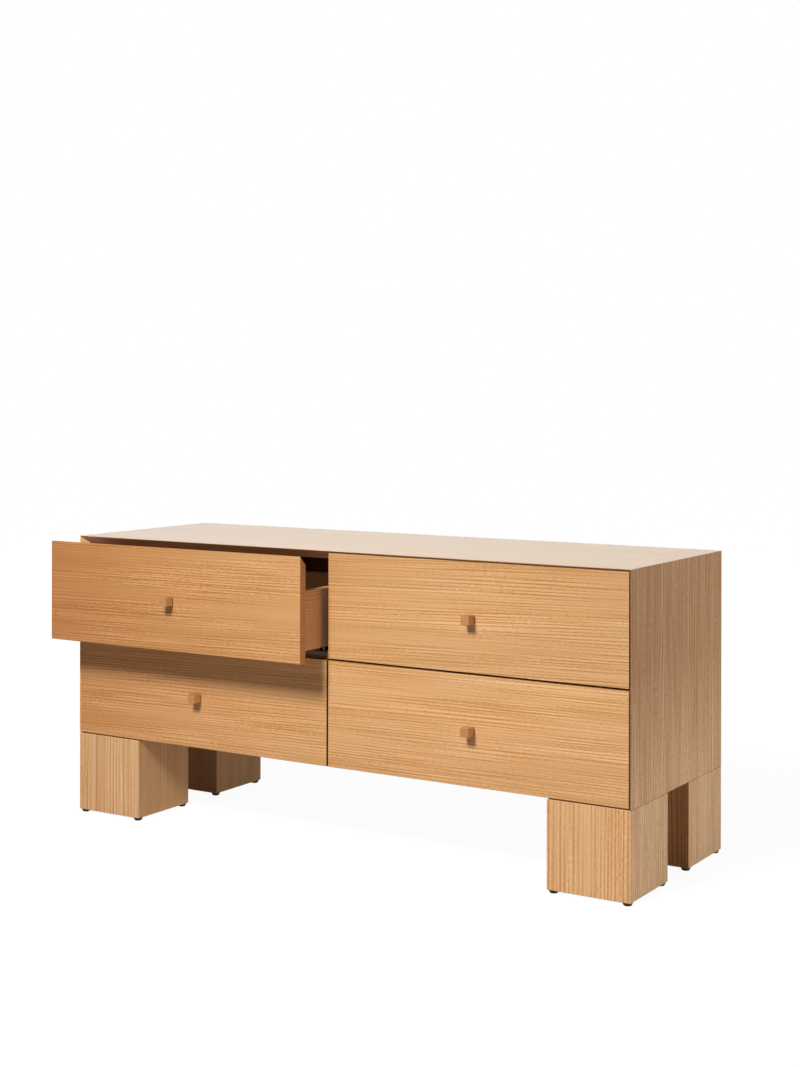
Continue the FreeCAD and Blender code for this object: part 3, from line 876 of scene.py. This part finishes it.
def glide_rings(collar, foot, height, rounding):
    """Foot point, flat foot, quarter-round edge, tapered wall, collar and top point.

    The edge's points lie on a quarter circle of the rounding's radius, from straight below its
    centre to straight beside it.
    """
    bend = np.linspace(0.0, np.pi / 2, ROUNDING_STEPS)
    edge = np.stack([foot - rounding + rounding * np.sin(bend),
                     rounding - rounding * np.cos(bend)], axis=1)
    return [(0.0, 0.0), *edge, (collar - GLIDE_STEP, height * GLIDE_STEP_FROM),
            (collar, height * GLIDE_STEP_TO), (collar, height), (0.0, height)]


glide_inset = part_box("front_right_leg")[1].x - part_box("glides")[1].x + GLIDE_COLLAR
glide_places = []
for leg in ("front_left_leg", "front_right_leg", "rear_left_leg", "rear_right_leg"):
    low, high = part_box(leg)
    glide_places += [(x, y, floor_z) for x in (low.x + glide_inset, high.x - glide_inset)
                     for y in (low.y + glide_inset, high.y - glide_inset)]
round_angles = np.arange(GLIDE_STEPS) * 2 * np.pi / GLIDE_STEPS
glide = turned(glide_rings(GLIDE_COLLAR, GLIDE_FOOT, leg_foot_z - floor_z, GLIDE_ROUNDING),
               round_angles)
add_copies("turned_glides", glide, glide_places, UPRIGHT, "plastic", "case",
           replaced=("glides",))

# %% [markdown]
# A screw's head is a low dome with a cross-shaped recess. The recess is the plus sign that a
# ring of points draws when its radius follows the sign's edge, and the rings below it shrink
# towards the bottom. Its corners get angles of their own, so that they come out sharp.

# %% Screw heads
HEAD_STEPS = 24
# The dome's outline, as shares of the head's radius and height
DOME = ((1.0, 0.35), (0.94, 0.70), (0.80, 0.93), (0.64, 1.0))
# The recess's arms, as shares of the head's radius, and its floor
RECESS_ARM = 0.58
RECESS_HALF_WIDTH = 0.14
RECESS_TAPER = 0.8
SUNK = 0.0005
RECESS_FLOOR = -0.4 * SUNK
RECESS_POINT = -0.6 * SUNK


def head_angles(arm, half_width):
    """Even angles round a head, and the ones where the cross recess has its corners."""
    corner = math.atan2(half_width, arm)
    quarter = np.array([corner, np.pi / 4, np.pi / 2 - corner])
    corners = (quarter + np.pi / 2 * np.arange(4)[:, None]).ravel()
    even = np.arange(HEAD_STEPS) * 2 * np.pi / HEAD_STEPS
    return np.unique(np.concatenate([corners, even]).round(6))


def cross_radius(angles, arm, half_width):
    """How far the edge of a plus sign is from its centre along each angle."""
    wide = np.maximum(np.abs(np.cos(angles)), np.abs(np.sin(angles)))
    narrow = np.minimum(np.abs(np.cos(angles)), np.abs(np.sin(angles)))
    return np.minimum(arm / wide, half_width / np.maximum(narrow, 1e-6))


def screw_head(radius, height):
    """A domed head, sunk a little in what it holds, with a cross-shaped recess."""
    arm = radius * RECESS_ARM
    half_width = radius * RECESS_HALF_WIDTH
    angles = head_angles(arm, half_width)
    cross = cross_radius(angles, arm, half_width)
    dome = [(radius * wide, height * high) for wide, high in DOME]
    recess = [(cross, height), (cross * RECESS_TAPER, RECESS_FLOOR), (0.0, RECESS_POINT)]
    return turned([(0.0, -SUNK), (radius, -SUNK), *dome, *recess], angles)


back_screw = screw_head(radius=0.0034, height=0.0002)
runner_screw = screw_head(radius=0.0035, height=0.0016)
front_screw = screw_head(radius=0.0045, height=0.0020)
print("points in a head", len(back_screw[0]))

# %% [markdown]
# Flat heads hold the back board into its rebate, along its top and bottom, down its ends and
# the divider, and to the shelves at half its height. They are the only ones that show from
# behind.

# %% Screws of the back board
BACK_SCREW_INSET = 0.005
BACK_COLUMNS = 9
BACK_ROWS = 5
board_low, board_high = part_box("back_board")
columns = np.linspace(board_low.x + BACK_SCREW_INSET, board_high.x - BACK_SCREW_INSET,
                      BACK_COLUMNS)
rows = np.linspace(board_low.z + BACK_SCREW_INSET, board_high.z - BACK_SCREW_INSET, BACK_ROWS)
back_face_y = board_high.y
held_all_down = [0, BACK_COLUMNS // 2, BACK_COLUMNS - 1]
back_screw_places = [(x, back_face_y, z) for x in columns for z in (rows[0], rows[-1])]
back_screw_places += [(x, back_face_y, z) for x in columns[held_all_down] for z in rows[1:-1]]
back_screw_places += [(x, back_face_y, rows[BACK_ROWS // 2])
                      for x in np.delete(columns, held_all_down)]
add_copies("back_board_screws", back_screw, back_screw_places, FACING_BACK, "screw_steel",
           "case")

# %% [markdown]
# Low pan heads hold the fixed member of each runner to the sides and the divider, three to a
# runner. They stand on the inner face of its sheet and look into the drawer's bay.

# %% Screws of the runners
RUNNER_SCREW_HEIGHT = 0.008
RUNNER_SCREW_END = 0.037
RUNNER_SHEET = 0.0015
SCREWS_IN_RUNNER = 3
left_facing, right_facing = [], []
for bay in BAYS:
    low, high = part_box(f"{bay}_cabinet_runners")
    screw_z = low.z + RUNNER_SCREW_HEIGHT
    for y in np.linspace(low.y + RUNNER_SCREW_END, high.y - RUNNER_SCREW_END, SCREWS_IN_RUNNER):
        right_facing.append((low.x + RUNNER_SHEET, y, screw_z))
        left_facing.append((high.x - RUNNER_SHEET, y, screw_z))
add_copies("runner_screws_left", runner_screw, right_facing, FACING_RIGHT, "screw_steel",
           "case")
add_copies("runner_screws_right", runner_screw, left_facing, FACING_LEFT, "screw_steel",
           "case")

# %% [markdown]
# Four larger pan heads inside each box hold its drawer front, a quarter of the way in from the
# box's ends and edges. They ride with their drawer.

# %% Screws behind the drawer fronts
QUARTERS = np.array([0.25, 0.75])
for bay in BAYS:
    low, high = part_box(f"{bay}_box_front")
    across = low.x + (high.x - low.x) * QUARTERS
    upward = low.z + (high.z - low.z) * QUARTERS
    places = [(x, high.y, z) for x in across for z in upward]
    add_copies(f"{bay}_front_screws", front_screw, places, FACING_BACK, "screw_steel",
               f"{bay}_drawer")
